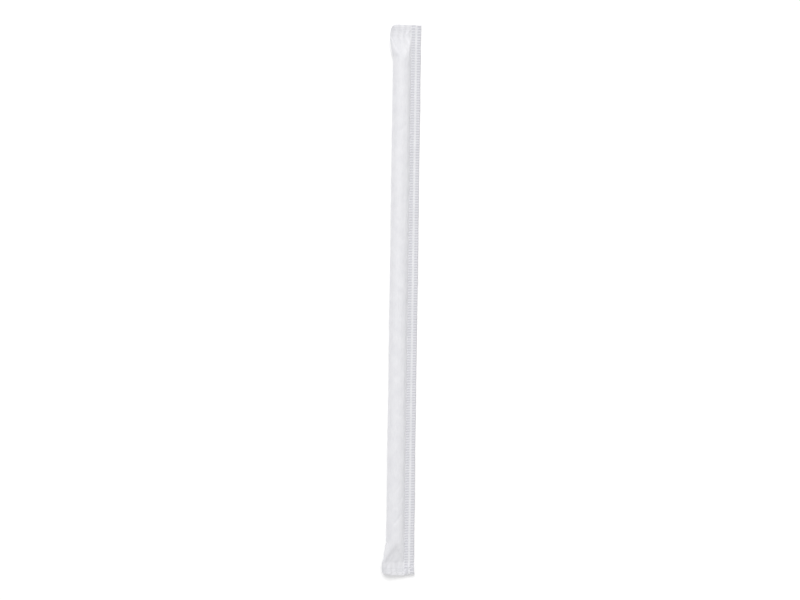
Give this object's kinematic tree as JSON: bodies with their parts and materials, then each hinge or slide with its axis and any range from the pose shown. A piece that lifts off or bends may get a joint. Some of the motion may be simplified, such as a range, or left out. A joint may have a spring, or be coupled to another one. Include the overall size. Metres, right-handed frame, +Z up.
{
  "type": "wrapped drinking straw",
  "caption": "Straight drinking straw sealed in a white paper sleeve with a knurled side seam and flat pressed ends.",
  "frame": {"origin": "middle of the outline's footprint, on the table that the sleeve lies on", "axes": "+Y along the straw, +X towards the knurled seam, +Z up from the table"},
  "size_m": [0.0126, 0.204, 0.006],
  "materials": {
    "paper": "thin cool-white wrapping paper, satin on its smooth side, knurled in two rows along the seam"
  },
  "bodies": {
    "root": {"paper_wrapped_straw": "paper"}
  },
  "joints": []
}
